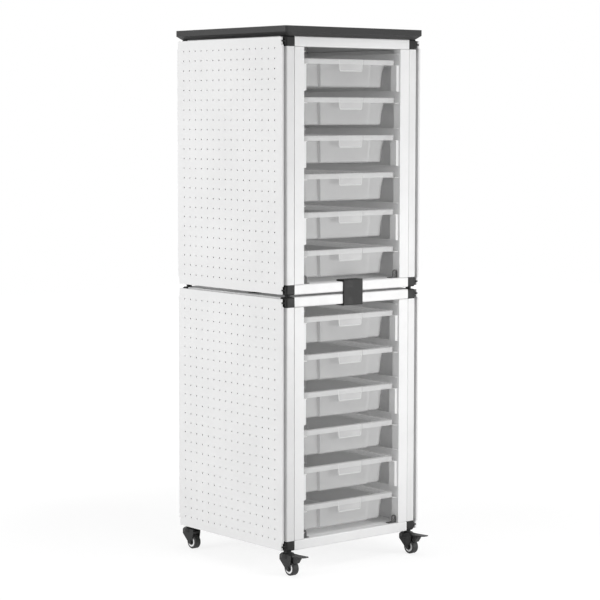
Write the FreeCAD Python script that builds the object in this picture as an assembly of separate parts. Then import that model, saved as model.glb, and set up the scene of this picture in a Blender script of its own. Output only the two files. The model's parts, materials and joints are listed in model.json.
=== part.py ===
import FreeCAD, Part
import math
import os

from FreeCAD import Vector

# A tall storage tower: two stacked tube-frame modules on four castors, six
# slide-out trays in each, perforated side panels and a worktop. Millimetres.
# X is across the front, Y runs from the front to the back, and Z is up. The
# origin lies on the floor, under the middle of the box that holds the part.

# Frame of one module
module_width = 435.0
module_depth = 440.5
module_height = 644.0
module_gap = 6.0
module_count = 2
tube = 25.4
tube_wall = 1.5
tube_corner = 3.0

# Moulded corner connector
spigot_length = 18.0
spigot_clearance = 0.2
spigot_chamfer = 1.5
connector_rounding = 4.0
pad_margin = 3.2
pad_height = 3.5
pad_rounding = 1.5
stud_radius = 5.0
stud_clearance = 0.05
stud_depth = 20.0
bore_spare = 1.0

# Links between the modules and under the worktop
stack_disc_radius = 7.0
worktop_stud_rise = 14.0
clip_width = 65.5
clip_wall = 4.5
clip_front = 3.0
clip_clearance = 0.2
clip_rounding = 2.0

# Worktop
worktop_thickness = 25.0
worktop_overhang_side = 12.5
worktop_overhang_front = 11.5
worktop_corner = 9.0
worktop_bevel_rise = 10.0
worktop_edge = 1.0

# Perforated side panels
panel_thickness = 5.6
panel_standoff = 9.0
hole_pitch = 25.4
hole_columns = 16
hole_rows = 24
hole_radius = 2.0
panel_margin_y = 28.5
panel_margin_z = 27.1
panel_notch_depth = 4.0
panel_notch_height = 20.0
pin_radius = 2.0
pin_clearance = 0.05
pin_inset = 5.0
pin_bite = 3.0

# Inner sheets
sheet = 1.2
fit_gap = 0.3
opening_width = 323.5
upright_depth = 25.0
back_thickness = 3.0
floor_lip = 12.0

# Runners that carry the trays, joined in pairs by short tubes
runner_reach = 13.5
runner_lip = 8.0
runner_headroom = 16.0
runner_front_inset = 4.0
runner_back_gap = 12.0
spacer_width = 10.3
spacer_depth = 22.0

# Trays
tray_count = 6
tray_pitch = 96.4
tray_first_drop = 54.1
tray_width = 312.0
tray_depth = 427.0
tray_height = 70.0
tray_wall = 2.0
tray_rim = 8.5
tray_rim_drop = 13.0
tray_rim_corner = 18.0
tray_front_rim = 10.0
tray_corner = 18.0
tray_shoulder_drop = 15.0
tray_shoulder_front = 20.0
tray_waist_drop = 37.0
tray_waist_side = 6.5
tray_side_lean = 3.5
tray_front_lean = 1.5
tray_panel_half = 87.0
tray_panel_taper = 5.5
tray_panel_rim = 20.0
tray_panel_lean = 4.5
tray_panel_depth = 40.0
tray_panel_corner = 2.5
tray_foot_rounding = 5.0
tray_recess = 8.0
tray_running_gap = 0.3
tab_width = 82.0
tab_drop = 31.0
tab_taper = 3.0
tab_recess = 1.0

# Small corner brackets at the foot of each opening
bracket_width = 16.0
bracket_height = 22.0
bracket_foot = 24.0
bracket_foot_depth = 14.0
bracket_sheet = 1.8
bracket_hole_radius = 3.0
bracket_hole_height = 14.0
bracket_setback = 8.0

# Castors
castor_height = 61.0
castor_neck = 6.2
castor_neck_radius = 10.0
wheel_radius = 19.0
wheel_width = 18.5
hub_radius = 13.5
hub_dish_radius = 7.5
hub_dish = 1.5
tyre_rounding = 2.5
trail = 16.8
horn_radius = 17.0
horn_height = 11.0
horn_roof = 6.0
horn_wall = 3.0
horn_rounding = 1.5
leg_thickness = 2.0
leg_gap = 1.2
leg_eye = 8.0
leg_eye_back = 1.5
leg_eye_rise = 1.0
leg_back = 17.0
leg_back_drop = 17.0
leg_back_corner = 4.0
leg_nose = 12.0
spindle_radius = 4.0
spindle_head_radius = 6.5
spindle_head = 2.2
axle_radius = 3.0
axle_head_radius = 5.0
axle_head = 2.0
running_clearance = 0.05
end_float = 0.3

# Foot brakes on the two front castors
pedal_reach = 76.0
pedal_width = 22.0
pedal_thickness = 3.5
pedal_tip_thickness = 1.5
pedal_rise = 2.0
pedal_root = 19.0
pedal_tip_corner = 8.0
pedal_drop = 1.0
pivot_reach = 24.0
pivot_radius = 1.6
pivot_drop = 7.0
pivot_ear = 3.4
shoe_width = 14.0
shoe_reach = 50.0
shoe_height = 20.0
shoe_front_drop = 6.7
shoe_clearance = 3.0

# Places worked out from the sizes above
stem_inset = tube / 2
front_y = (pedal_reach - stem_inset - module_depth - worktop_overhang_front) / 2
back_y = front_y + module_depth
middle_y = front_y + module_depth / 2
half_width = module_width / 2
inner_half = half_width - tube
opening_half = opening_width / 2
tray_half = tray_width / 2
clear_height = module_height - 2 * tube
top_z = castor_height + module_count * module_height + (module_count - 1) * module_gap
stem_x = half_width - stem_inset
front_stem_y = front_y + stem_inset
back_stem_y = back_y - stem_inset
back_face_y = back_y - fit_gap - back_thickness
panel_inner = half_width + panel_standoff
horn_top = castor_height - castor_neck
leg_inner = wheel_width / 2 + leg_gap
leg_outer = leg_inner + leg_thickness


def box(x0, x1, y0, y1, z0, z1):
    """Block between two corners, given as low and high values."""
    return Part.makeBox(x1 - x0, y1 - y0, z1 - z0, Vector(x0, y0, z0))


def cylinder(radius, start, direction, length):
    """Round bar from a start point along a direction."""
    return Part.makeCylinder(radius, length, Vector(*start), Vector(*direction))


def rounded_outline(x0, x1, y0, y1, radius, z):
    """Closed wire of a rectangle with four equal corner arcs at a height."""
    arc_mid = radius * (1 - math.sqrt(0.5))
    corners = [
        ((x1 - radius, y0), (x1 - arc_mid, y0 + arc_mid), (x1, y0 + radius)),
        ((x1, y1 - radius), (x1 - arc_mid, y1 - arc_mid), (x1 - radius, y1)),
        ((x0 + radius, y1), (x0 + arc_mid, y1 - arc_mid), (x0, y1 - radius)),
        ((x0, y0 + radius), (x0 + arc_mid, y0 + arc_mid), (x0 + radius, y0)),
    ]
    edges = []
    for number, (start, middle, end) in enumerate(corners):
        arc = Part.Arc(Vector(*start, z), Vector(*middle, z), Vector(*end, z))
        following = corners[(number + 1) % 4][0]
        edges.append(arc.toShape())
        edges.append(Part.LineSegment(Vector(*end, z), Vector(*following, z)).toShape())
    return Part.Wire(edges)


def rounded_block(x0, x1, y0, y1, z0, z1, radius):
    """Upright block with rounded vertical corners."""
    face = Part.Face(rounded_outline(x0, x1, y0, y1, radius, z0))
    return face.extrude(Vector(0, 0, z1 - z0))


def prism(points, plane, low, high):
    """Polygon in the XZ or YZ plane, swept between two values of the other axis."""
    if plane == "xz":
        corners = [Vector(a, low, b) for a, b in points]
        sweep = Vector(0, high - low, 0)
    else:
        corners = [Vector(low, a, b) for a, b in points]
        sweep = Vector(high - low, 0, 0)
    outline = Part.makePolygon(corners + [corners[0]])
    return Part.Face(outline).extrude(sweep)


def edges_on(shape, test):
    """Edges of a shape whose middle point passes a test."""
    return [edge for edge in shape.Edges if test(edge.CenterOfMass)]


def near(a, b):
    """Whether two lengths are the same place."""
    return abs(a - b) < 1e-4


def square_tube(length):
    """Square tube with rounded corners, standing on Z = 0 and centred on Z."""
    half = tube / 2
    inner = half - tube_wall
    outer = rounded_block(-half, half, -half, half, 0, length, tube_corner)
    bore = rounded_block(-inner, inner, -inner, inner, 0, length, tube_corner - tube_wall)
    return outer.cut(bore)


def tube_along(axis, x, y, z, length):
    """Tube with its lowest end centre at a point, along one of the axes."""
    body = square_tube(length)
    if axis == "x":
        body.rotate(Vector(0, 0, 0), Vector(0, 1, 0), 90)
    if axis == "y":
        body.rotate(Vector(0, 0, 0), Vector(1, 0, 0), -90)
    body.translate(Vector(x, y, z))
    return body


def mirrored(shape, x_side, y_side, z_side):
    """Copy of a shape reflected through the origin planes for negative sides."""
    result = shape
    for side, normal in ((x_side, (1, 0, 0)), (y_side, (0, 1, 0)), (z_side, (0, 0, 1))):
        if side < 0:
            result = result.mirror(Vector(0, 0, 0), Vector(*normal))
    return result


def connector():
    """Corner cube whose outer faces look along +X, +Y and +Z, with three spigots."""
    half = tube / 2
    cube = box(-half, half, -half, half, -half, half)
    outer_edges = edges_on(
        cube,
        lambda p: (near(p.x, half) and near(p.y, half))
        or (near(p.x, half) and near(p.z, half))
        or (near(p.y, half) and near(p.z, half)),
    )
    cube = cube.makeFillet(connector_rounding, outer_edges)
    spigot_half = half - tube_wall - spigot_clearance
    spigot_corner = tube_corner - tube_wall
    spigot = rounded_block(
        -spigot_half, spigot_half, -spigot_half, spigot_half, 0, spigot_length, spigot_corner
    )
    tip = edges_on(spigot, lambda p: near(p.z, spigot_length))
    spigot = spigot.makeChamfer(spigot_chamfer, tip)
    solid = cube
    for axis, angle in (((0, 1, 0), -90), ((1, 0, 0), 90), ((1, 0, 0), 180)):
        arm = spigot.copy()
        arm.rotate(Vector(0, 0, 0), Vector(*axis), angle)
        arm.translate(cube_face_offset(axis, angle, half))
        solid = solid.fuse(arm)
    reach = half - pad_margin
    pad = box(half - pad_rounding, half + pad_height, -reach, reach, -reach, reach)
    rim = edges_on(pad, lambda p: near(p.x, half + pad_height))
    pad = pad.makeFillet(pad_rounding, rim)
    solid = solid.fuse(pad).removeSplitter()
    bore_start = half - stud_depth - bore_spare
    bore = cylinder(stud_radius + stud_clearance, (0, 0, bore_start), (0, 0, 1), tube)
    pin_y = half - pin_inset
    pin_start = half + pad_height - pin_bite - fit_gap
    pin_bore = cylinder(pin_radius + pin_clearance, (pin_start, pin_y, 0), (1, 0, 0), tube)
    return solid.cut(bore).cut(pin_bore)


def cube_face_offset(axis, angle, half):
    """Where a turned spigot starts: the middle of the cube's inner face."""
    if axis == (0, 1, 0):
        return Vector(-half, 0, 0)
    if angle == 90:
        return Vector(0, -half, 0)
    return Vector(0, 0, -half)


def each_corner():
    """Left and right with front and back, as signs."""
    return [(x_side, y_side) for x_side in (-1, 1) for y_side in (-1, 1)]


def corner_y(y_side):
    """Middle line of the front or the back posts."""
    return front_stem_y if y_side < 0 else back_stem_y


def corner_connectors(base):
    """Eight connectors of a module that stands at a height."""
    pattern = connector()
    solids = []
    for x_side, y_side in each_corner():
        for z_side in (-1, 1):
            solid = mirrored(pattern, x_side, y_side, z_side)
            z = base + tube / 2 if z_side < 0 else base + module_height - tube / 2
            solid.translate(Vector(x_side * stem_x, corner_y(y_side), z))
            solids.append(solid)
    return solids


def posts(base):
    """Four upright tubes between the connectors."""
    return [
        tube_along("z", x_side * stem_x, corner_y(y_side), base + tube, clear_height)
        for x_side, y_side in each_corner()
    ]


def cross_rails(base):
    """Front and back rails at the top and the bottom."""
    levels = (base + tube / 2, base + module_height - tube / 2)
    return [
        tube_along("x", -inner_half, corner_y(y_side), z, 2 * inner_half)
        for y_side in (-1, 1)
        for z in levels
    ]


def side_rails(base):
    """Left and right rails at the top and the bottom."""
    levels = (base + tube / 2, base + module_height - tube / 2)
    length = module_depth - 2 * tube
    return [
        tube_along("y", x_side * stem_x, front_y + tube, z, length)
        for x_side in (-1, 1)
        for z in levels
    ]


def peg_panel(base, x_side):
    """Perforated board that stands off the side of the frame on four pins."""
    depth = (hole_columns - 1) * hole_pitch + 2 * panel_margin_y
    height = (hole_rows - 1) * hole_pitch + 2 * panel_margin_z
    y0 = middle_y - depth / 2
    y1 = middle_y + depth / 2
    z0 = base + (module_height - height) / 2
    z1 = z0 + height
    outer = panel_inner + panel_thickness
    board = box(panel_inner, outer, y0, y1, z0, z1)
    notches = []
    for y_low, y_high in ((y0, y0 + panel_notch_depth), (y1 - panel_notch_depth, y1)):
        for z_low, z_high in ((z0, z0 + panel_notch_height), (z1 - panel_notch_height, z1)):
            notches.append(box(panel_inner, outer, y_low, y_high, z_low, z_high))
    holes = [
        cylinder(
            hole_radius,
            (panel_inner, y0 + panel_margin_y + column * hole_pitch, z0 + panel_margin_z + row * hole_pitch),
            (1, 0, 0),
            panel_thickness,
        )
        for column in range(hole_columns)
        for row in range(hole_rows)
    ]
    sockets = []
    for y, z in pin_places(base):
        start = (panel_inner, y, z)
        sockets.append(cylinder(pin_radius + pin_clearance, start, (1, 0, 0), pin_bite + fit_gap))
    board = board.cut(Part.makeCompound(notches)).cut(Part.makeCompound(holes + sockets))
    return mirrored(board, x_side, 1, 1)


def pin_places(base):
    """Y and Z of the four pins that carry one side panel."""
    return [
        (y, z)
        for y in (front_y + pin_inset, back_y - pin_inset)
        for z in (base + tube / 2, base + module_height - tube / 2)
    ]


def panel_pins():
    """Round pins from the connectors into the side panels of every module."""
    start_x = half_width + pad_height - pin_bite
    length = panel_inner + pin_bite - start_x
    solids = []
    for base in module_bases():
        for y, z in pin_places(base):
            pin = cylinder(pin_radius, (start_x, y, z), (1, 0, 0), length)
            solids.append(pin)
            solids.append(mirrored(pin, -1, 1, 1))
    return solids


def side_liner(base, x_side):
    """Sheet wall beside the trays, with a folded upright at the front and at the back."""
    y1 = back_face_y - fit_gap
    z0 = base + tube + fit_gap
    z1 = base + tube + clear_height - fit_gap
    x1 = inner_half - fit_gap
    liner = box(x1 - sheet, x1, front_y, y1, z0, z1)
    for y_low, y_high in ((front_y, front_y + upright_depth), (y1 - upright_depth, y1)):
        outer = box(opening_half, x1, y_low, y_high, z0, z1)
        inner = box(opening_half + sheet, x1 - sheet, y_low + sheet, y_high - sheet, z0, z1)
        liner = liner.fuse(outer.cut(inner))
    return mirrored(liner.removeSplitter(), x_side, 1, 1)


def back_panel(base):
    """Board that closes the back between the posts and the rails, cut away at the clips."""
    x1 = inner_half - fit_gap
    z0 = base + tube + fit_gap
    z1 = base + tube + clear_height - fit_gap
    y1 = back_face_y + back_thickness
    board = box(-x1, x1, back_face_y, y1, z0, z1)
    half = clip_width / 2 + fit_gap
    grip = clip_clearance + clip_wall + fit_gap
    if base > castor_height:
        board = board.cut(box(-half, half, back_face_y, y1, z0, base + tube + grip))
    if base < module_bases()[-1]:
        board = board.cut(box(-half, half, back_face_y, y1, z1 + fit_gap - grip, z1))
    return board


def floor_sheet(base):
    """Folded sheet that closes the bottom, flush with the rails."""
    x1 = inner_half - fit_gap
    y0 = front_y + tube + fit_gap
    y1 = back_y - tube - fit_gap
    z1 = base + tube
    whole = box(-x1, x1, y0, y1, z1 - floor_lip, z1)
    hollow = box(-x1 + sheet, x1 - sheet, y0 + sheet, y1 - sheet, z1 - floor_lip, z1 - sheet)
    return whole.cut(hollow)


def rim_heights(base):
    """Top of each tray's rim, from the highest tray down."""
    first = base + module_height - tray_first_drop
    return [first - number * tray_pitch for number in range(tray_count)]


def runner_channel(rim):
    """Channel beside one tray: ledge, web and short upper lip."""
    ledge_top = rim - tray_rim_drop - tray_running_gap
    lip_low = rim + runner_headroom
    outline = [
        (opening_half, ledge_top - sheet),
        (opening_half - runner_reach, ledge_top - sheet),
        (opening_half - runner_reach, ledge_top),
        (opening_half - sheet, ledge_top),
        (opening_half - sheet, lip_low),
        (opening_half - runner_lip, lip_low),
        (opening_half - runner_lip, lip_low + sheet),
        (opening_half, lip_low + sheet),
    ]
    return prism(outline, "xz", front_y + runner_front_inset, back_face_y - runner_back_gap)


def runner_spacers(rim, rim_below):
    """Short tubes at both ends of a pair of channels, from the lower lip to the upper ledge."""
    low = rim_below + runner_headroom + sheet
    high = rim - tray_rim_drop - tray_running_gap - sheet
    x0 = opening_half - spacer_width
    front = front_y + runner_front_inset
    back = back_face_y - runner_back_gap - spacer_depth
    solids = []
    for y0 in (front, back):
        y1 = y0 + spacer_depth
        outer = box(x0, opening_half, y0, y1, low, high)
        bore = box(x0 + sheet, opening_half - sheet, y0 + sheet, y1 - sheet, low, high)
        solids.append(outer.cut(bore))
    return solids


def runners(base):
    """Channels for every tray, with spacers between the two channels of each pair."""
    rims = rim_heights(base)
    solids = [runner_channel(rim) for rim in rims]
    for rim, rim_below in zip(rims[::2], rims[1::2]):
        solids += runner_spacers(rim, rim_below)
    return solids + [mirrored(solid, -1, 1, 1) for solid in solids]


def tub_outline(rim, y0, drop, side, front, back, corner):
    """Plan of the tub at a drop below the rim, drawn in from the rim's outer faces."""
    half = tray_half - side
    return rounded_outline(-half, half, y0 + front, y0 + tray_depth - back, corner, rim - drop)


def tub_solid(rim, y0, wall):
    """Tub set back under the front rim, with waisted sides, drawn in by a wall."""
    side = tray_rim + wall
    front = tray_front_rim + wall
    corner = tray_corner - wall
    low_front = front + tray_shoulder_front
    lean_share = (tray_waist_drop - tray_shoulder_drop) / (tray_height - tray_shoulder_drop)
    waist_front = low_front + lean_share * tray_front_lean
    waist_side = side + tray_waist_side
    foot_side = waist_side + tray_side_lean
    foot_front = low_front + tray_front_lean
    sections = [
        tub_outline(rim, y0, tray_height - wall, foot_side, foot_front, foot_side, corner),
        tub_outline(rim, y0, tray_waist_drop, waist_side, waist_front, waist_side, corner),
        tub_outline(rim, y0, tray_shoulder_drop, side, low_front, side, corner),
        tub_outline(rim, y0, 0.0, side, front, side, corner),
    ]
    tub = Part.makeLoft(sections, True, True)
    foot_z = rim - tray_height + wall
    return tub.makeFillet(tray_foot_rounding - wall, edges_on(tub, lambda p: near(p.z, foot_z)))


def front_swell(rim, y0, wall):
    """Middle of the tub's front, which stands forward of the corners, drawn in by a wall."""
    top_half = tray_panel_half - wall
    foot_half = top_half - tray_panel_taper
    top_y = y0 + tray_panel_rim + wall
    foot_y = top_y + tray_panel_lean
    corner = tray_panel_corner - wall
    back = y0 + tray_panel_rim + tray_panel_depth
    foot = rounded_outline(-foot_half, foot_half, foot_y, back, corner, rim - tray_height + wall)
    top = rounded_outline(-top_half, top_half, top_y, back, corner, rim)
    return Part.makeLoft([foot, top], True, True)


def tray(rim):
    """Open tray with a turned-down rim and a pull tab at the front."""
    y0 = front_y + tray_recess
    y1 = y0 + tray_depth
    rim_low = rim - tray_rim_drop
    collar = rounded_block(-tray_half, tray_half, y0, y1, rim_low, rim, tray_rim_corner)
    under = rounded_block(
        -tray_half + tray_wall,
        tray_half - tray_wall,
        y0 + tray_wall,
        y1 - tray_wall,
        rim_low,
        rim - tray_wall,
        tray_rim_corner - tray_wall,
    )
    tab_low = rim - tab_drop
    tab_half = tab_width / 2
    tab = prism(
        [(-tab_half, rim), (tab_half, rim), (tab_half - tab_taper, tab_low), (tab_taper - tab_half, tab_low)],
        "xz",
        y0 + tab_recess,
        y0 + tab_recess + tray_wall,
    )
    collar = collar.cut(box(-tab_half, tab_half, y0, y0 + tab_recess, rim_low, rim))
    outside = tub_solid(rim, y0, 0.0).fuse(front_swell(rim, y0, 0.0))
    inside = tub_solid(rim, y0, tray_wall).fuse(front_swell(rim, y0, tray_wall))
    return collar.cut(under).fuse(outside).fuse(tab).cut(inside).removeSplitter()


def corner_brackets():
    """Small angle pieces on the rails at the foot of each opening."""
    solids = []
    for base in module_bases():
        rail_top = base + tube
        outer = opening_half - fit_gap
        y0 = front_y + bracket_setback
        foot_y = y0 + bracket_foot_depth
        foot = box(outer - bracket_foot, outer, y0, foot_y, rail_top, rail_top + bracket_sheet)
        half = bracket_width / 2
        tab_top = rail_top + bracket_height
        plate = box(outer - bracket_width, outer, y0, y0 + bracket_sheet, rail_top, tab_top - half)
        crown = cylinder(half, (outer - half, y0, tab_top - half), (0, 1, 0), bracket_sheet)
        eye = cylinder(
            bracket_hole_radius,
            (outer - half, y0, rail_top + bracket_hole_height),
            (0, 1, 0),
            bracket_sheet,
        )
        bracket = foot.fuse(plate).fuse(crown).cut(eye).removeSplitter()
        back = bracket.mirror(Vector(0, middle_y, 0), Vector(0, 1, 0))
        for solid in (bracket, back):
            solids.append(solid)
            solids.append(mirrored(solid, -1, 1, 1))
    return solids


def worktop():
    """Slab with round corners and a bevel under its edge, bored for the studs."""
    x1 = half_width + worktop_overhang_side
    y0 = front_y - worktop_overhang_front
    y1 = back_y + worktop_overhang_front
    bevel_top = top_z + worktop_bevel_rise
    slab_top = top_z + worktop_thickness
    slab = rounded_block(-x1, x1, y0, y1, bevel_top, slab_top, worktop_corner)
    slab = slab.makeFillet(worktop_edge, edges_on(slab, lambda p: near(p.z, slab_top)))
    upper = rounded_outline(-x1, x1, y0, y1, worktop_corner, bevel_top)
    lower = rounded_outline(-half_width, half_width, front_y, back_y, worktop_corner, top_z)
    solid = slab.fuse(Part.makeLoft([lower, upper], True, True)).removeSplitter()
    for x_side, y_side in each_corner():
        start = (x_side * stem_x, corner_y(y_side), top_z)
        bore = cylinder(stud_radius + stud_clearance, start, (0, 0, 1), worktop_stud_rise + bore_spare)
        solid = solid.cut(bore)
    return solid


def worktop_studs():
    """Studs that locate the worktop on the upper connectors."""
    return [
        cylinder(
            stud_radius,
            (x_side * stem_x, corner_y(y_side), top_z - stud_depth),
            (0, 0, 1),
            stud_depth + worktop_stud_rise,
        )
        for x_side, y_side in each_corner()
    ]


def stacking_pads():
    """Discs with a pin up and a pin down between stacked connectors."""
    solids = []
    for base in module_bases()[1:]:
        low = base - module_gap
        for x_side, y_side in each_corner():
            x = x_side * stem_x
            y = corner_y(y_side)
            disc = cylinder(stack_disc_radius, (x, y, low), (0, 0, 1), module_gap)
            pin = cylinder(stud_radius, (x, y, low - stud_depth), (0, 0, 1), module_gap + 2 * stud_depth)
            solids.append(disc.fuse(pin).removeSplitter())
    return solids


def joining_clips():
    """Channels that grip the two middle rails together, front and back."""
    solids = []
    half = clip_width / 2
    for base in module_bases()[1:]:
        low = base - module_gap - tube - clip_clearance
        high = base + tube + clip_clearance
        y0 = front_y - clip_front
        whole = box(-half, half, y0, front_y + tube, low - clip_wall, high + clip_wall)
        whole = whole.makeFillet(clip_rounding, edges_on(whole, lambda p: near(p.y, y0)))
        hollow = box(-half, half, front_y - clip_clearance, front_y + tube, low, high)
        clip = whole.cut(hollow)
        solids.append(clip)
        solids.append(clip.mirror(Vector(0, middle_y, 0), Vector(0, 1, 0)))
    return solids


def castor_stems():
    """Stem, collar and riveted spindle of every castor, fixed in the connectors."""
    solids = []
    collar_low = horn_top + end_float
    head_top = horn_top - horn_roof - end_float
    for x_side, y_side in each_corner():
        x = x_side * stem_x
        y = corner_y(y_side)
        stem = cylinder(stud_radius, (x, y, castor_height), (0, 0, 1), stud_depth)
        collar = cylinder(castor_neck_radius, (x, y, collar_low), (0, 0, 1), castor_height - collar_low)
        spindle = cylinder(spindle_radius, (x, y, head_top), (0, 0, 1), collar_low - head_top)
        head = cylinder(spindle_head_radius, (x, y, head_top - spindle_head), (0, 0, 1), spindle_head)
        solids.append(stem.fuse(collar).fuse(spindle).fuse(head).removeSplitter())
    return solids


def leg_outline():
    """Side view of a fork leg as a face at X = 0: broad at the horn, round at the axle."""
    eye_y = leg_eye_back - trail
    eye_z = wheel_radius + leg_eye_rise
    high = horn_top - horn_rounding
    back_low = horn_top - leg_back_drop
    nose_y = -horn_radius - leg_nose
    nose_z = horn_top - horn_height
    back_tangent = tangent_point((leg_back, back_low), (eye_y, eye_z), leg_eye, 1)
    nose_tangent = tangent_point((nose_y, nose_z), (eye_y, eye_z), leg_eye, -1)
    corners = [
        nose_tangent,
        (nose_y, nose_z),
        (nose_y, high),
        (leg_back - leg_back_corner, high),
        (leg_back, high - leg_back_corner),
        (leg_back, back_low),
        back_tangent,
    ]
    edges = [
        Part.LineSegment(Vector(0, *corners[n]), Vector(0, *corners[n + 1])).toShape()
        for n in range(len(corners) - 1)
    ]
    bottom = Vector(0, eye_y, eye_z - leg_eye)
    edges.append(Part.Arc(Vector(0, *back_tangent), bottom, Vector(0, *nose_tangent)).toShape())
    return Part.Face(Part.Wire(edges))


def tangent_point(point, centre, radius, side):
    """Where a line from a point touches a circle, on one side of the centre line."""
    dy = point[0] - centre[0]
    dz = point[1] - centre[1]
    distance = math.hypot(dy, dz)
    turn = math.acos(radius / distance)
    angle = math.atan2(dz, dy) - side * turn
    return (centre[0] + radius * math.cos(angle), centre[1] + radius * math.sin(angle))


def castor_fork(braked):
    """Swivel horn and two legs about a stem at the origin of X and Y."""
    horn = cylinder(horn_radius, (0, 0, horn_top - horn_height), (0, 0, 1), horn_height)
    horn = horn.makeFillet(horn_rounding, edges_on(horn, lambda p: near(p.z, horn_top)))
    face = leg_outline()
    solid = horn
    for low in (leg_inner, -leg_outer):
        leg = face.extrude(Vector(leg_thickness, 0, 0))
        leg.translate(Vector(low, 0, 0))
        solid = solid.fuse(leg)
    pocket_height = horn_height - horn_roof
    pocket = cylinder(horn_radius - horn_wall, (0, 0, horn_top - horn_height), (0, 0, 1), pocket_height)
    bore = cylinder(spindle_radius + running_clearance, (0, 0, 0), (0, 0, 1), castor_height)
    axle_bore = cylinder(
        axle_radius + running_clearance, (-leg_outer, -trail, wheel_radius), (1, 0, 0), 2 * leg_outer
    )
    tyre_room = cylinder(
        wheel_radius + leg_gap, (-leg_inner, -trail, wheel_radius), (1, 0, 0), 2 * leg_inner
    )
    solid = solid.cut(pocket_between_legs(pocket)).cut(bore).cut(axle_bore).cut(tyre_room)
    if braked:
        pivot_bore = cylinder(
            pivot_radius + running_clearance,
            (-leg_outer, -pivot_reach, horn_top - pivot_drop),
            (1, 0, 0),
            2 * leg_outer,
        )
        solid = solid.cut(pivot_bore)
    return solid.removeSplitter()


def pocket_between_legs(pocket):
    """The hollow under the horn, kept between the inner faces of the legs."""
    reach = horn_radius
    gap = box(-leg_inner, leg_inner, -reach, reach, 0, castor_height)
    return pocket.common(gap)


def castor_axle():
    """Plain axle with a flat head at each end, about the stem."""
    start = (-leg_outer - fit_gap / 2, -trail, wheel_radius)
    length = 2 * leg_outer + fit_gap
    bar = cylinder(axle_radius, start, (1, 0, 0), length)
    left = cylinder(axle_head_radius, (start[0] - axle_head, -trail, wheel_radius), (1, 0, 0), axle_head)
    right = cylinder(axle_head_radius, (-start[0], -trail, wheel_radius), (1, 0, 0), axle_head)
    return bar.fuse(left).fuse(right).removeSplitter()


def castor_hub():
    """Wheel centre with a dished face on each side and a bore for the axle."""
    half = wheel_width / 2
    hub = cylinder(hub_radius, (-half, -trail, wheel_radius), (1, 0, 0), wheel_width)
    bore = cylinder(axle_radius + running_clearance, (-half, -trail, wheel_radius), (1, 0, 0), wheel_width)
    for start in (-half, half - hub_dish):
        dish = cylinder(hub_dish_radius, (start, -trail, wheel_radius), (1, 0, 0), hub_dish)
        hub = hub.cut(dish)
    return hub.cut(bore)


def castor_tyre():
    """Tread ring with rounded shoulders."""
    half = wheel_width / 2
    ring = cylinder(wheel_radius, (-half, -trail, wheel_radius), (1, 0, 0), wheel_width)
    shoulders = edges_on(ring, lambda p: near(abs(p.x), half))
    ring = ring.makeFillet(tyre_rounding, shoulders)
    bore = cylinder(hub_radius + running_clearance, (-half, -trail, wheel_radius), (1, 0, 0), wheel_width)
    return ring.cut(bore)


def brake_pedal():
    """Foot plate with a curved shoe over the wheel and a cross pin in the legs."""
    top = horn_top - pedal_drop
    low = top - pedal_thickness
    half = pedal_width / 2
    tip_top = top + pedal_rise
    plate = prism(
        [
            (-pedal_root - leg_nose, low),
            (-pedal_root - leg_nose, top),
            (-pedal_reach, tip_top),
            (-pedal_reach, tip_top - pedal_tip_thickness),
        ],
        "yz",
        -half,
        half,
    )
    tip = edges_on(plate, lambda p: near(p.y, -pedal_reach) and near(abs(p.x), half))
    plate = plate.makeFillet(pedal_tip_corner, tip)
    narrow = shoe_width / 2
    neck = box(-narrow, narrow, -pedal_root - leg_nose, -pedal_root, low, top)
    foot = top - shoe_height
    shoe = prism(
        [
            (-pedal_root, low),
            (-shoe_reach, low),
            (-shoe_reach + pedal_thickness, low - shoe_front_drop),
            (-trail - wheel_radius - shoe_clearance, foot),
            (-trail - wheel_radius + shoe_clearance, foot),
            (-pedal_root, low - pivot_ear),
        ],
        "yz",
        -narrow,
        narrow,
    )
    wheel_room = cylinder(
        wheel_radius + shoe_clearance, (-half, -trail, wheel_radius), (1, 0, 0), 2 * half
    )
    pin = cylinder(pivot_radius, (-leg_outer, -pivot_reach, horn_top - pivot_drop), (1, 0, 0), 2 * leg_outer)
    ear = cylinder(pivot_ear, (-narrow, -pivot_reach, horn_top - pivot_drop), (1, 0, 0), shoe_width)
    return plate.fuse(neck).fuse(shoe).fuse(ear).cut(wheel_room).fuse(pin).removeSplitter()


def module_bases():
    """Height of the underside of each module, lowest first."""
    return [castor_height + number * (module_height + module_gap) for number in range(module_count)]


def placed(shape, x, y):
    """A castor piece moved from its own stem to a stem of the tower."""
    moved = shape.copy()
    moved.translate(Vector(x, y, 0))
    return moved


def save(name, solids):
    """Write one named piece, or a group of like pieces."""
    pieces = solids if isinstance(solids, list) else [solids]
    shape = pieces[0] if len(pieces) == 1 else Part.makeCompound(pieces)
    shape.exportStep(os.path.join("parts", name + ".step"))


def save_modules():
    """Frame, panels, sheets, runners and trays of both modules."""
    for label, base in zip(("lower", "upper"), module_bases()):
        save(label + "_corner_connectors", corner_connectors(base))
        save(label + "_posts", posts(base))
        save(label + "_cross_rails", cross_rails(base))
        save(label + "_side_rails", side_rails(base))
        save(label + "_left_peg_panel", peg_panel(base, -1))
        save(label + "_right_peg_panel", peg_panel(base, 1))
        save(label + "_left_liner", side_liner(base, -1))
        save(label + "_right_liner", side_liner(base, 1))
        save(label + "_back_panel", back_panel(base))
        save(label + "_floor_sheet", floor_sheet(base))
        save(label + "_runners", runners(base))
        for number, rim in enumerate(rim_heights(base), start=1):
            save(label + "_tray_" + str(number), tray(rim))


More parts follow.
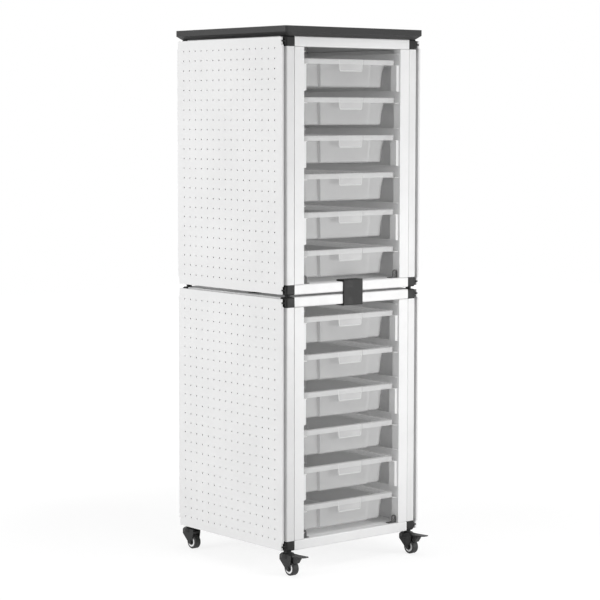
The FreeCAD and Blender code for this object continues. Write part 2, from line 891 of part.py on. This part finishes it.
def save_castors():
    """Four castors, the front pair with foot brakes."""
    for x_side, y_side in each_corner():
        x = x_side * stem_x
        y = corner_y(y_side)
        name = ("front_" if y_side < 0 else "back_") + ("left_" if x_side < 0 else "right_")
        save(name + "castor_fork", placed(castor_fork(y_side < 0), x, y))
        save(name + "castor_axle", placed(castor_axle(), x, y))
        save(name + "castor_hub", placed(castor_hub(), x, y))
        save(name + "castor_tyre", placed(castor_tyre(), x, y))
        if y_side < 0:
            save(name + "brake_pedal", placed(brake_pedal(), x, y))


os.makedirs("parts", exist_ok=True)
save_modules()
save_castors()
save("castor_stems", castor_stems())
save("worktop", worktop())
save("worktop_studs", worktop_studs())
save("stacking_pads", stacking_pads())
save("joining_clips", joining_clips())
save("panel_pins", panel_pins())
save("corner_brackets", corner_brackets())
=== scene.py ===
import json
import math

import bpy
import numpy as np
from mathutils import Matrix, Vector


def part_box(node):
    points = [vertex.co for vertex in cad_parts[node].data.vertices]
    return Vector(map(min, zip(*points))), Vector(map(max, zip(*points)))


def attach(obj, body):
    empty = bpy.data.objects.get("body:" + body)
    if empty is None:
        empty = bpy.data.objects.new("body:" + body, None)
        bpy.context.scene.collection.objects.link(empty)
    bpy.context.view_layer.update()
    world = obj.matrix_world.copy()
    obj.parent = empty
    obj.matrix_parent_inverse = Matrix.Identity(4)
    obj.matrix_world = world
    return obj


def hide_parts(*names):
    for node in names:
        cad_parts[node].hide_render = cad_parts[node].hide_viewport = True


# A storage tower of two stacked modules: clear slide-out trays between white
# perforated side panels, a dark worktop and four castors. The frame's solids
# keep their shape and get their finish here. The trays are modelled here, in
# millimetres, and placed in metres.

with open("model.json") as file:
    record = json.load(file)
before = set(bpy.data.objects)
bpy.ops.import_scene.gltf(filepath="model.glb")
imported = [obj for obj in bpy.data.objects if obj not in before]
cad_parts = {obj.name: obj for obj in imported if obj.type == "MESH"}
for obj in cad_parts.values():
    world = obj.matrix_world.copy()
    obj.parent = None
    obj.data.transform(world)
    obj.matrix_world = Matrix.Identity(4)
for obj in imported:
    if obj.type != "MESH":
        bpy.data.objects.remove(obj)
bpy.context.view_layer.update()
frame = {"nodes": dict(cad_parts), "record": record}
MM = 0.001

# The tray, measured inwards from the rim's outer faces and down from its top
WALL = 2.0
RIM_DROP = 13.0
RIM_CORNER = 18.0
RIM_EDGE = 0.9
SIDE_RIM = 8.5
FRONT_RIM = 10.0
TUB_CORNER = 18.0
SHOULDER_DROP = 15.0
SHOULDER_FRONT = 30.0
WAIST_DROP = 37.0
WAIST_SIDE = 15.0
WAIST_FRONT = 30.6
FOOT_SIDE = 18.5
FOOT_FRONT = 31.5
FOOT_ROUND = 5.0
PANEL_RIM = 20.0
PANEL_FOOT = 24.5
PANEL_HALF = 87.0
PANEL_TAPER = 5.5
PANEL_EDGE = 1.4
FRONT_MILK = 0.5

# The pale backing under the worktop, and the dark middle of a wheel's centre
BACKING_EDGE = 30.0
BACKING_SKIN = 0.1
MIDDLE_RADIUS = 9.0

# The pull tab in the middle of the rim's front
TAB_HALF = 41.0
TAB_TAPER = 3.0
TAB_DROP = 31.0
TAB_RECESS = 1.0
TAB_NOTCH = 0.25
TAB_BORDER = 3.4
TAB_CORNER = 4.0


class Socket:
    """One output of a shader node, on which plain arithmetic adds Math nodes."""

    def __init__(self, paint, link):
        self.paint = paint
        self.link = link

    def maths(self, operation, *values):
        return self.paint.node("ShaderNodeMath", {"operation": operation}, dict(enumerate(values)))

    def __add__(self, other):
        return self.maths("ADD", self, other)

    def __sub__(self, other):
        return self.maths("SUBTRACT", self, other)

    def __rsub__(self, other):
        return self.maths("SUBTRACT", other, self)

    def __mul__(self, other):
        return self.maths("MULTIPLY", self, other)

    __radd__ = __add__
    __rmul__ = __mul__

    def __pow__(self, other):
        return self.maths("POWER", self, other)

    def within(self, middle, reach):
        """One where the value lies no further than the reach from the middle, else nought."""
        return self.maths("COMPARE", self, middle, reach)

    def clamp(self, low, high):
        return self.maths("MINIMUM", self.maths("MAXIMUM", self, low), high)

    def step(self, low, high):
        """Smooth 0 to 1 as the value goes from low to high."""
        settings = {"interpolation_type": "SMOOTHSTEP"}
        return self.paint.node("ShaderNodeMapRange", settings, {"Value": self, "From Min": low, "From Max": high})


class Paint:
    """One finish: a Principled shader whose uniform values are set on its own sockets."""

    def __init__(self, name, uniform):
        self.material = bpy.data.materials.new(name)
        self.material.use_nodes = True
        self.tree = self.material.node_tree
        self.shader = self.tree.nodes["Principled BSDF"]
        for label, value in uniform.items():
            self.shader.inputs[label].default_value = value

    def node(self, kind, settings=None, sockets=None, output=0):
        """Any other node: its settings first, then the values or links of its sockets."""
        made = self.tree.nodes.new(kind)
        for label, value in (settings or {}).items():
            setattr(made, label, value)
        for label, value in (sockets or {}).items():
            self.feed(made.inputs[label], value)
        return Socket(self, made.outputs[output])

    def feed(self, entry, value):
        if isinstance(value, Socket):
            self.tree.links.new(value.link, entry)
        else:
            entry.default_value = value

    def place(self):
        """Object coordinates, which ride with the piece."""
        return self.node("ShaderNodeTexCoord", output="Object")

    def axes(self):
        """The three Object coordinates on their own."""
        return [self.node("ShaderNodeSeparateXYZ", {}, {"Vector": self.place()}, axis) for axis in range(3)]

    def stretched(self, x, y, z):
        """Object coordinates with each axis scaled."""
        return self.node("ShaderNodeMapping", {}, {"Vector": self.place(), "Scale": (x, y, z)})

    def noise(self, scale, detail=3.0, rough=0.5, place=None):
        sockets = {"Vector": place or self.place(), "Scale": scale, "Detail": detail, "Roughness": rough}
        return self.node("ShaderNodeTexNoise", {}, sockets)

    def cells(self, scale, place=None):
        sockets = {"Vector": place or self.place(), "Scale": scale}
        return self.node("ShaderNodeTexVoronoi", {"feature": "F1"}, sockets, "Distance")

    def mix(self, factor, low, high):
        """Colour between two greys or colours."""
        ends = [value if isinstance(value, Socket) else as_colour(value) for value in (low, high)]
        return self.node("ShaderNodeMix", {"data_type": "RGBA"}, {0: factor, 6: ends[0], 7: ends[1]}, 2)

    def height(self, value, strength, distance):
        """Bump from a height that is worked out in the nodes."""
        normal = self.node(
            "ShaderNodeBump", {}, {"Strength": strength, "Distance": distance, "Height": value}
        )
        self.feed(self.shader.inputs["Normal"], normal)

    def finish(self, colour, roughness, alpha=1.0):
        """Feeds what changes over the surface and gives the material."""
        for label, value in (("Base Color", colour), ("Roughness", roughness), ("Alpha", alpha)):
            self.feed(self.shader.inputs[label], value)
        return self.material


def as_colour(value):
    """A grey or three numbers as an opaque colour."""
    return (value, value, value, 1.0) if isinstance(value, float) else (*value, 1.0)


def powder_coat(name, dark, light, shine):
    """Powder coat on steel: orange-peel skin, faint mottling and a few duller patches."""
    paint = Paint(name, {"IOR": 1.5})
    drift = paint.noise(7.0, 4.0).step(0.3, 0.7)
    peel = paint.noise(620.0, 2.0)
    patch = paint.noise(38.0, 5.0, 0.65).step(0.45, 0.8)
    paint.height(peel, 0.12, 0.0006)
    colour = paint.mix(drift * 0.7 + patch * 0.3, light, dark)
    return paint.finish(colour, shine + patch * 0.08 + peel * 0.05)


def laminate_board(name, dark, light):
    """White laminate on hardboard: a flat skin with a faint leather-like pore and soft clouds."""
    paint = Paint(name, {"IOR": 1.48})
    cloud = paint.noise(4.5, 5.0, 0.6).step(0.3, 0.72)
    pore = paint.cells(900.0)
    fibre = paint.noise(260.0, 4.0, 0.6, paint.stretched(1.0, 0.35, 1.0))
    paint.height(pore * 0.6 + fibre * 0.4, 0.1, 0.0004)
    colour = paint.mix(cloud * 0.75 + fibre * 0.25, light, dark)
    return paint.finish(colour, 0.42 + fibre * 0.12)


def dark_laminate():
    """Dark grey worktop laminate: fine pale speckle, a pebbled skin and slight rub marks.

    Its underside shows pale backing sheet inside the frame, and black outside it."""
    paint = Paint("worktop_laminate", {"IOR": 1.5, "Specular IOR Level": 0.3})
    speck = paint.noise(1500.0, 2.0).step(0.56, 0.72)
    cloud = paint.noise(9.0, 5.0, 0.6)
    rub = paint.noise(30.0, 6.0, 0.7, paint.stretched(1.0, 6.0, 1.0)).step(0.55, 0.75)
    paint.height(paint.cells(1100.0), 0.25, 0.0004)
    colour = paint.mix(speck * 0.5, paint.mix(cloud, 0.024, 0.040), 0.10)
    low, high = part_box("worktop")
    x, y, z = paint.axes()
    inside = x.within(0.0, high.x - BACKING_EDGE * MM)
    inside = inside * y.within((low.y + high.y) / 2, (high.y - low.y) / 2 - BACKING_EDGE * MM)
    inside = inside * z.within(low.z, BACKING_SKIN * MM)
    colour = paint.mix(inside, colour, paint.mix(cloud, 0.80, 0.88))
    return paint.finish(colour, 0.40 + rub * 0.12 + cloud * 0.08)


def moulded_nylon(name, dark, light, grain, shine):
    """Black moulded nylon: spark-eroded grain, slightly paler where it is rubbed."""
    paint = Paint(name, {"IOR": 1.53, "Specular IOR Level": 0.3})
    skin = paint.noise(grain, 3.0, 0.6)
    rub = paint.noise(45.0, 5.0, 0.6).step(0.5, 0.75)
    paint.height(skin, 0.3, 0.0005)
    colour = paint.mix(rub * 0.6 + skin * 0.4, dark, light)
    return paint.finish(colour, shine + skin * 0.15 - rub * 0.08)


def zinc_plate():
    """Bright zinc plating: brushed streaks along Z and cloudy grey spangle."""
    paint = Paint("zinc_steel", {"Metallic": 1.0})
    streak = paint.noise(900.0, 3.0, 0.6, paint.stretched(1.0, 1.0, 0.06))
    cloud = paint.noise(120.0, 4.0)
    paint.height(streak, 0.15, 0.0002)
    colour = paint.mix(cloud, 0.52, 0.70)
    return paint.finish(colour, 0.26 + streak * 0.18)


def wheel_centre():
    """White moulded wheel centre with a dark middle, and a faint dust in its grain.

    The middle is what lies within MIDDLE_RADIUS of the axle's line, which runs along X."""
    paint = Paint("hub_white", {"IOR": 1.5})
    dust = paint.noise(160.0, 5.0, 0.65).step(0.48, 0.8)
    paint.height(paint.noise(2400.0, 2.0), 0.12, 0.0003)
    colour = paint.mix(dust, 0.88, 0.70)
    x, y, z = paint.axes()
    for row in ("front", "back"):
        low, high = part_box(f"{row}_left_castor_hub")
        reach = (y - (low.y + high.y) / 2) ** 2.0 + (z - (low.z + high.z) / 2) ** 2.0
        rim = (MIDDLE_RADIUS * MM) ** 2
        colour = paint.mix(reach.step(rim * 0.92, rim * 1.08), 0.03, colour)
    return paint.finish(colour, 0.34 + dust * 0.2)


def tread_rubber():
    """Black soft tread: matt, with dust lodged in a fine texture."""
    paint = Paint("tyre_rubber", {"IOR": 1.5})
    dust = paint.noise(220.0, 6.0, 0.7).step(0.5, 0.85)
    skin = paint.noise(2600.0, 3.0)
    paint.height(skin, 0.35, 0.0004)
    return paint.finish(paint.mix(dust, 0.024, 0.085), 0.58 + dust * 0.25)


def tray_plastic():
    """Frosted clear plastic: milky at its front and rim, with a fine moulded skin.

    The weak glow is painted light. The trays glow though they are no lamp, which brightens them and the shaded inside
    of the tower in place of the light that frosted walls would scatter inwards."""
    # Painted light: a weak white emission lifts the trays and the dark inside of the tower.
    painted_glow = {"Emission Color": as_colour(1.0), "Emission Strength": 0.13}
    paint = Paint("clear_tray", {"IOR": 1.49, "Specular IOR Level": 0.35, **painted_glow})
    thick = paint.node("ShaderNodeAttribute", {"attribute_name": "thickness"}, output="Fac")
    haze = paint.noise(14.0, 4.0, 0.55).step(0.25, 0.75)
    skin = paint.noise(1400.0, 2.0)
    scuff = paint.noise(60.0, 6.0, 0.7, paint.stretched(1.0, 1.0, 5.0)).step(0.6, 0.85)
    paint.height(skin * 0.8 + scuff * 0.2, 0.1, 0.0002)
    alpha = (0.17 + thick * 0.42 + haze * 0.02 + scuff * 0.03).clamp(0.0, 0.95)
    colour = paint.mix(thick * 0.8 + haze * 0.2, 0.63, 0.69)
    return paint.finish(colour, 0.34 + haze * 0.08 + scuff * 0.1, alpha)


def finishes():
    """A material for every slot of the record."""
    return {
        "white_steel": powder_coat("white_steel", 0.80, 0.86, 0.36),
        "white_sheet": powder_coat("white_sheet", 0.87, 0.92, 0.40),
        "white_board": laminate_board("white_board", 0.78, 0.83),
        "runner_steel": powder_coat("runner_steel", 0.80, 0.86, 0.42),
        "worktop_laminate": dark_laminate(),
        "black_nylon": moulded_nylon("black_nylon", 0.006, 0.018, 1900.0, 0.46),
        "clip_black": moulded_nylon("clip_black", 0.008, 0.018, 1400.0, 0.46),
        "clear_tray": tray_plastic(),
        "castor_black": moulded_nylon("castor_black", 0.012, 0.032, 1700.0, 0.40),
        "pedal_black": moulded_nylon("pedal_black", 0.018, 0.050, 1500.0, 0.44),
        "hub_white": wheel_centre(),
        "tyre_rubber": tread_rubber(),
        "zinc_steel": zinc_plate(),
    }


def smooth(t):
    """Smoothstep of a value held between 0 and 1."""
    t = np.clip(t, 0.0, 1.0)
    return t * t * (3.0 - 2.0 * t)


def arc_steps(count):
    """Quarter turn in equal steps, both ends included."""
    return np.linspace(0.0, math.pi / 2, count)


def tray_stations():
    """Profile of the tray's shell from the middle of its underside over the rim to the middle inside.

    Each row is (drop, side inset, front inset, panel inset, corner, thickness, notch), where the
    panel inset is the front's forward middle and the notch is how far the band is let in behind
    the tab. The walls are straight lines between the rim, the shoulder, the waist and the foot,
    and the foot and the rim's edges are quarter circles."""
    height = tray_height()
    outer = [wall_row(drop, 0.0, height) for drop in foot_drops(height, 0.0)]
    skin = [wall_row(drop, WALL, height) for drop in foot_drops(height - WALL, WALL)]
    rows = floor_rows(outer[0], height) + outer
    rows += [wall_row(drop, 0.0, height) for drop in wall_drops(height - FOOT_ROUND)]
    rows += [wall_row(6.0, 0.0, height), wall_row(WALL, 0.0, height)]
    rows += [band_row(WALL, WALL, 0.0), band_row(RIM_DROP - 0.5, WALL, 0.0)]
    rows += [band_row(RIM_DROP, WALL - 0.5, 0.0), band_row(RIM_DROP, 0.5, TAB_RECESS)]
    rows += [band_row(RIM_DROP - 0.5, 0.0, TAB_RECESS)]
    for turn in arc_steps(5):
        inset = RIM_EDGE * (1 - math.cos(turn))
        rows.append(band_row(RIM_EDGE * (1 - math.sin(turn)), inset, TAB_RECESS))
    for turn in arc_steps(5):
        side, front, panel, corner = wall_row(WALL, WALL, height)[1:5]
        back = RIM_EDGE * (1 - math.sin(turn))
        rows.append((RIM_EDGE * (1 - math.cos(turn)), side - back, front - back, panel - back, corner + back, 0.7, 0.0))
    inner = [wall_row(drop, WALL, height) for drop in wall_drops(height - FOOT_ROUND)][::-1]
    rows += [wall_row(6.0, WALL, height)] + inner + skin[::-1] + floor_rows(skin[0], height - WALL)[::-1]
    return np.array(rows, float)


def band_row(drop, inset, notch):
    """One ring of the turned-down band, the same inset all round."""
    return (drop, inset, inset, inset, RIM_CORNER - inset, 0.7, notch)


def tray_height():
    low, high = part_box("upper_tray_1")
    return round((high.z - low.z) / MM, 3)


def wall_drops(foot):
    """Drops of the rings on the wall, from the foot up to the rim's underside."""
    spans = ((foot, WAIST_DROP, 5), (WAIST_DROP, SHOULDER_DROP, 4), (SHOULDER_DROP, 6.0, 4))
    return np.concatenate([np.linspace(a, b, count, endpoint=False) for a, b, count in spans]).tolist()


def foot_drops(low, wall):
    """Drops of the rings on the foot rounding, from the floor up."""
    radius = FOOT_ROUND - wall
    return [low - radius * (1 - math.cos(turn)) for turn in arc_steps(6)][:-1]


def wall_row(drop, wall, height):
    """One ring of the wall at a drop, drawn in by a wall: straight legs, then the foot's quarter circle."""
    low = height - wall
    radius = FOOT_ROUND - wall
    knots = [0.0, SHOULDER_DROP, WAIST_DROP, height]
    side = np.interp(drop, knots, [SIDE_RIM, SIDE_RIM, WAIST_SIDE, FOOT_SIDE]) + wall
    front = np.interp(drop, knots, [FRONT_RIM, SHOULDER_FRONT, WAIST_FRONT, FOOT_FRONT]) + wall
    panel = min(front, np.interp(drop, [0.0, height], [PANEL_RIM, PANEL_FOOT]) + wall)
    dip = max(0.0, drop - (low - radius))
    tuck = radius - math.sqrt(max(0.0, radius * radius - dip * dip))
    edge = 0.3 if dip > 0.5 * radius else 0.0
    return (drop, side + tuck, front + tuck, panel + tuck, TUB_CORNER - wall - tuck, edge, 0.0)


def floor_rows(ring, drop):
    """Rings of the floor from its middle out to the foot, with a shallow step round the edge."""
    side, front, panel, corner = ring[1:5]
    rows = []
    for inset, lift in ((150.0, 0.8), (60.0, 0.8), (14.0, 0.8), (11.5, 0.6), (9.5, 0.1), (5.0, 0.0)):
        limit = min(inset, 118.0)
        rows.append((drop - lift, side + limit, front + inset, panel + inset, max(corner - limit, 2.0), 0.0, 0.0))
    return rows


def tray_loop(rows, half, y_front, y_back):
    """Plan of every ring: x and y arrays, one row per station.

    Each ring is a rounded rectangle. Its front's middle moves from the front inset to the panel
    inset by a smoothstep across the panel's two upright edges, which lean in towards the foot, and
    back by the notch within the tab's width."""
    drop, side, front, panel, corner = (rows[:, column, None] for column in range(5))
    notch = rows[:, 6, None]
    reach = half - side
    y0 = y_front + front
    y1 = y_back - side
    straight = reach - corner
    share = np.minimum(1.0, straight / (PANEL_HALF + 2 * PANEL_EDGE))
    edge = (PANEL_HALF - PANEL_TAPER * drop / tray_height()) * share
    blend = PANEL_EDGE * share
    slot = TAB_HALF * share
    left = [-straight, -edge - blend, -edge + blend, -slot - TAB_NOTCH * share, -slot]
    knots = left + [-knot for knot in left[::-1]]
    counts = (5, 8, 4, 1, 8, 1, 4, 8, 5)
    spans = [
        knots[n] + (knots[n + 1] - knots[n]) * np.linspace(0.0, 1.0, count, endpoint=False)
        for n, count in enumerate(counts)
    ]
    x = np.concatenate(spans, axis=1)
    proud = smooth((edge + blend - np.abs(x)) / (2 * blend))
    inside = np.clip((slot + TAB_NOTCH - np.abs(x)) / TAB_NOTCH, 0.0, 1.0)
    y = y0 + (panel - front) * proud + notch * inside
    parts = [(x, y)]
    turn = np.linspace(0.0, math.pi / 2, 9)
    for quarter, (sx, corner_y) in enumerate(((1, y0 + corner), (1, y1 - corner), (-1, y1 - corner), (-1, y0 + corner))):
        angle = turn + (quarter - 1) * math.pi / 2
        parts.append((sx * straight + corner * np.cos(angle), corner_y + corner * np.sin(angle)))
        if quarter < 3:
            parts.append(edge_between(quarter, straight, reach, corner, y0, y1))
    xs = np.concatenate([a + 0 * drop for a, b in parts], axis=1)
    ys = np.concatenate([b + 0 * drop for a, b in parts], axis=1)
    return xs, ys


def edge_between(quarter, straight, reach, corner, y0, y1):
    """Inner points of the right side, the back or the left side, in the ring's order."""
    t = np.linspace(0.0, 1.0, 10)[None, 1:-1]
    if quarter == 1:
        return straight - 2 * straight * t, y1 + 0 * t
    low, high = y0 + corner, y1 - corner
    if quarter == 0:
        return reach + 0 * t, low + (high - low) * t
    return -reach + 0 * t, high + (low - high) * t


def grid_faces(rows, columns):
    """Quads of a grid that closes round its columns, and a fan's edge at each end."""
    a = np.arange(rows - 1)[:, None] * columns + np.arange(columns)[None, :]
    b = np.arange(rows - 1)[:, None] * columns + (np.arange(columns)[None, :] + 1) % columns
    return np.stack([a, b, b + columns, a + columns], axis=-1).reshape(-1, 4)


def tray_shell(half, y_front, y_back, rim):
    """Points, faces and thickness of the tray's shell."""
    rows = tray_stations()
    x, y = tray_loop(rows, half, y_front, y_back)
    z = rim - rows[:, 0, None] + 0 * x
    points = np.stack([x, y, z], axis=-1).reshape(-1, 3)
    milky = FRONT_MILK * smooth((y_front + 2 * FOOT_FRONT - y) / FRONT_RIM)
    thick = np.maximum(rows[:, 5, None], milky).reshape(-1)
    count, columns = x.shape
    middle = [points[:columns].mean(axis=0), points[-columns:].mean(axis=0)]
    points = np.vstack([points, middle])
    thick = np.append(thick, [0.05, 0.05])
    ring = np.arange(columns)
    start = len(points) - 2
    under = np.stack([np.full(columns, start), (ring + 1) % columns, ring], axis=-1)
    last = (count - 1) * columns + ring
    inside = np.stack([np.full(columns, start + 1), last, (count - 1) * columns + (ring + 1) % columns], axis=-1)
    faces = grid_faces(count, columns).tolist() + under.tolist() + inside.tolist()
    return points, faces, thick


def tab_shell(y_front, rim):
    """Pull tab: a plate with a raised, rounded border, closed at its back and edges.

    In plan coordinates u across and v down, the outline narrows downwards and its lower corners
    are quarter circles. The front stands proud by a smoothstep of the distance to the outline."""
    columns, levels = 57, 41
    u = np.linspace(-1.0, 1.0, columns)[None, :]
    v = np.linspace(0.0, 1.0, levels)[:, None]
    drop = TAB_DROP * (1 - (1 - v) ** 1.6)
    spread = np.sign(u) * (1 - (1 - np.abs(u)) ** 1.6)
    half = TAB_HALF - TAB_TAPER * drop / TAB_DROP
    near_foot = np.clip(drop - (TAB_DROP - TAB_CORNER), 0.0, TAB_CORNER)
    half = half - (TAB_CORNER - np.sqrt(TAB_CORNER ** 2 - near_foot ** 2))
    x = spread * half
    edge = np.minimum(half - np.abs(x), TAB_DROP - drop + 0 * x)
    border = 1 - smooth((edge - TAB_BORDER * 0.55) / (TAB_BORDER * 0.45))
    lip = smooth(edge / 0.8)
    y_face = y_front + TAB_RECESS + 0.3 - 0.5 * border * lip
    y_back = y_front + TAB_RECESS + WALL + 0 * x
    z = rim - 0.3 - drop * (TAB_DROP - 0.3) / TAB_DROP + 0 * x
    front = np.stack([x, y_face, z], axis=-1).reshape(-1, 3)
    back = np.stack([x, y_back, z], axis=-1).reshape(-1, 3)
    points = np.vstack([front, back])
    a = (np.arange(levels - 1)[:, None] * columns + np.arange(columns - 1)[None, :]).reshape(-1)
    quads = np.stack([a, a + columns, a + columns + 1, a + 1], axis=-1)
    shift = levels * columns
    rear = quads[:, ::-1] + shift
    rim_path = np.concatenate([
        np.arange(columns),
        np.arange(1, levels) * columns + columns - 1,
        (levels - 1) * columns + np.arange(columns - 2, -1, -1),
        np.arange(levels - 2, 0, -1) * columns,
    ])
    following = np.roll(rim_path, -1)
    sides = np.stack([rim_path, following, following + shift, rim_path + shift], axis=-1)
    faces = quads.tolist() + rear.tolist() + sides.tolist()
    thick = np.concatenate([(0.45 + 0.45 * border).reshape(-1), np.full(shift, 0.45)])
    return points, faces, thick


def make_mesh(name, shells, sharp):
    """One mesh from several shells in millimetres, smooth up to an angle."""
    points, faces, thick, start = [], [], [], 0
    for shell_points, shell_faces, shell_thick in shells:
        points.append(shell_points)
        faces += [[index + start for index in face] for face in shell_faces]
        thick.append(shell_thick)
        start += len(shell_points)
    mesh = bpy.data.meshes.new(name)
    mesh.from_pydata((np.vstack(points) * MM).tolist(), [], faces)
    attribute = mesh.attributes.new("thickness", "FLOAT", "POINT")
    attribute.data.foreach_set("value", np.concatenate(thick).astype(np.float32))
    mesh.polygons.foreach_set("use_smooth", [True] * len(mesh.polygons))
    mesh.set_sharp_from_angle(angle=math.radians(sharp))
    mesh.update()
    return mesh


def add_trays(materials):
    """A clear tray in place of each tray of the frame, riding on the same slide."""
    for label in ("lower", "upper"):
        number = 1
        while f"{label}_tray_{number}" in frame["nodes"]:
            node = f"{label}_tray_{number}"
            low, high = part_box(node)
            y_front = low.y / MM
            rim = high.z / MM
            shells = [tray_shell(high.x / MM, y_front, high.y / MM, rim), tab_shell(y_front, rim)]
            piece = bpy.data.objects.new(f"{node}_shell", make_mesh(node, shells, 40.0))
            bpy.context.scene.collection.objects.link(piece)
            piece.data.materials.append(materials["clear_tray"])
            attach(piece, node)
            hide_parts(node)
            number += 1


def paint_frame(materials):
    """The record's slot of each solid names its finish, apart from a few shades of it.

    The brackets are a paler black, the cross rails a paler copy of the white that paints in the extra light they catch,
    and the axles blackened."""
    shades = {"corner_brackets": moulded_nylon("bracket_grey", 0.080, 0.115, 1400.0, 0.42)}
    # Painted light: the cross rails get a paler copy of the white powder coat, standing in for the extra light they
    # catch from the front.
    shades["lower_cross_rails"] = shades["upper_cross_rails"] = powder_coat("rail_white_painted_light", 0.88, 0.93, 0.36)
    for part in frame["record"]["subparts"]:
        node = part["node"]
        finish = shades.get(node, materials[part["material_slot"]])
        if node.endswith("castor_axle"):
            finish = materials["castor_black"]
        for slot in frame["nodes"][node].material_slots:
            slot.material = finish


def add_floor():
    """Pale floor that shows white and keeps the tower's shadow."""
    size = 14.0
    bpy.ops.mesh.primitive_plane_add(size=size, location=(0, 0, 0))
    floor = bpy.context.object
    floor.name = "floor"
    paint = Paint("floor_paint", {"Roughness": 0.9})
    tree = paint.tree
    rays = tree.nodes.new("ShaderNodeLightPath")
    seen = Socket(paint, rays.outputs["Is Camera Ray"]) + Socket(paint, rays.outputs["Is Glossy Ray"])
    seen = (seen + Socket(paint, rays.outputs["Is Transmission Ray"])).clamp(0.0, 1.0)
    paint.feed(paint.shader.inputs["Base Color"], as_colour(0.90))
    white = paint.node("ShaderNodeEmission", {}, {"Color": as_colour(1.0), "Strength": 1.15}, "Emission")
    x, y, z = paint.axes()
    share = seen * (0.7 + (x ** 2.0 + y ** 2.0).step(0.5, 3.0) * 0.3)
    surface = paint.node("ShaderNodeMixShader", {}, {0: share, 1: Socket(paint, paint.shader.outputs["BSDF"]), 2: white}, "Shader")
    output = tree.nodes["Material Output"]
    tree.links.new(surface.link, output.inputs["Surface"])
    floor.data.materials.append(paint.material)


def add_world():
    """White studio: full white to the camera and in reflections, softer as a light."""
    world = bpy.data.worlds.new("studio")
    bpy.context.scene.world = world
    world.use_nodes = True
    tree = world.node_tree
    background = tree.nodes["Background"]
    background.inputs["Color"].default_value = as_colour(1.0)
    rays = tree.nodes.new("ShaderNodeLightPath")
    total = rays.outputs["Is Camera Ray"]
    for label in ("Is Glossy Ray", "Is Transmission Ray"):
        add = tree.nodes.new("ShaderNodeMath")
        add.operation = "MAXIMUM"
        tree.links.new(total, add.inputs[0])
        tree.links.new(rays.outputs[label], add.inputs[1])
        total = add.outputs[0]
    strength = tree.nodes.new("ShaderNodeMapRange")
    strength.inputs["To Min"].default_value = 0.42
    strength.inputs["To Max"].default_value = 1.0
    tree.links.new(total, strength.inputs["Value"])
    tree.links.new(strength.outputs["Result"], background.inputs["Strength"])


def add_light(name, azimuth, elevation, distance, size, power):
    """Square area lamp on a sphere about the tower's middle, looking at it."""
    lamp = bpy.data.lights.new(name, "AREA")
    lamp.shape = "SQUARE"
    lamp.size = size
    lamp.energy = power
    obj = bpy.data.objects.new(name, lamp)
    bpy.context.scene.collection.objects.link(obj)
    turn = math.radians(azimuth)
    rise = math.radians(elevation)
    aim = Matrix.Rotation(turn, 4, "Z") @ Matrix.Rotation(math.pi / 2 - rise, 4, "X")
    away = aim @ Matrix.Translation((0, 0, distance))
    obj.matrix_world = Matrix.Translation((0, 0, 0.75)) @ away


def add_camera():
    """Camera that the perforated panels' one-inch grid places in the picture."""
    data = bpy.data.cameras.new("camera")
    data.lens = 120.87
    data.sensor_width = 36.0
    data.shift_x = -0.5 / 600
    data.shift_y = 0.5 / 600
    camera = bpy.data.objects.new("camera", data)
    bpy.context.scene.collection.objects.link(camera)
    azimuth, pitch, roll = (math.radians(angle) for angle in (-39.469, -5.2596, 0.044))
    aim = Matrix.Rotation(azimuth, 4, "Z") @ Matrix.Rotation(math.pi / 2 + pitch, 4, "X")
    aim = aim @ Matrix.Rotation(roll, 4, "Z")
    camera.matrix_world = Matrix.Translation((-3.37443, -4.08222, 1.15982)) @ aim
    bpy.context.scene.camera = camera


materials = finishes()
paint_frame(materials)
add_trays(materials)
add_floor()
add_world()
add_light("front_right_light", 32.0, -5.0, 2.1, 0.5, 13.4)
add_light("left_light", -105.0, 8.0, 4.0, 1.6, 70.0)
add_light("top_light", 10.0, 62.0, 3.0, 1.5, 20.0)
add_camera()
bpy.context.scene.view_settings.view_transform = "Standard"
